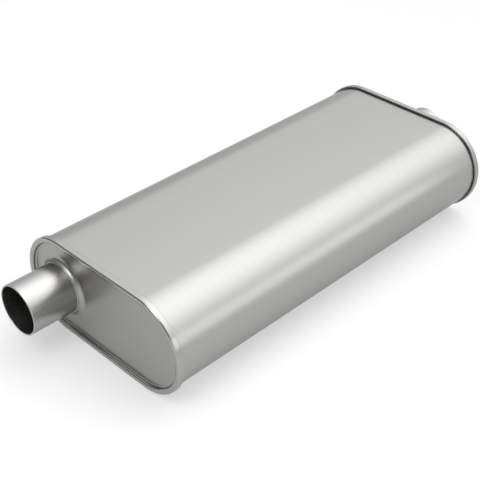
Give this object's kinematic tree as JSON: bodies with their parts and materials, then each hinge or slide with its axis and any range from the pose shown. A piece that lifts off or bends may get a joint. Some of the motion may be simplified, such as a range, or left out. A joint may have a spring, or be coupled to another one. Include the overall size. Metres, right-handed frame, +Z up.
{
  "type": "muffler",
  "caption": "Oval stainless steel exhaust muffler with rolled end rims, an offset inlet neck and a centred outlet neck, with baffles and perforated tubes inside.",
  "frame": {"origin": "on the surface that the two rolled rims rest on, under the middle of the body", "axes": "+X from the inlet to the outlet, +Y towards the side that the inlet is offset to, +Z up"},
  "size_m": [0.708, 0.2816, 0.1336],
  "materials": {
    "shell_steel": "satin stainless sheet with a very fine grain along the body",
    "head_steel": "satin pressed stainless sheet",
    "neck_steel": "satin stainless tube",
    "weld": "cleaned weld bead",
    "inner_steel": "mill-finish sheet",
    "liner": "thin insulating paper",
    "glass_fibre": "matted glass fibre",
    "steel_wool": "matted steel wool"
  },
  "bodies": {
    "root": {"outer_shell": "shell_steel", "shell_liner": "liner", "inner_wrap": "inner_steel", "inlet_head": "head_steel", "outlet_head": "head_steel", "inlet_neck": "neck_steel", "outlet_neck": "neck_steel", "inlet_neck_weld": "weld", "outlet_neck_weld": "weld", "front_baffle": "inner_steel", "centre_baffle": "inner_steel", "rear_baffle": "inner_steel", "inlet_tube": "inner_steel", "return_tube": "inner_steel", "outlet_tube": "inner_steel", "front_packing": "glass_fibre", "rear_packing": "glass_fibre", "inlet_sleeve_front": "steel_wool", "inlet_sleeve_rear": "steel_wool", "return_sleeve_front": "steel_wool", "return_sleeve_rear": "steel_wool", "outlet_sleeve_front": "steel_wool", "outlet_sleeve_rear": "steel_wool"}
  },
  "joints": []
}
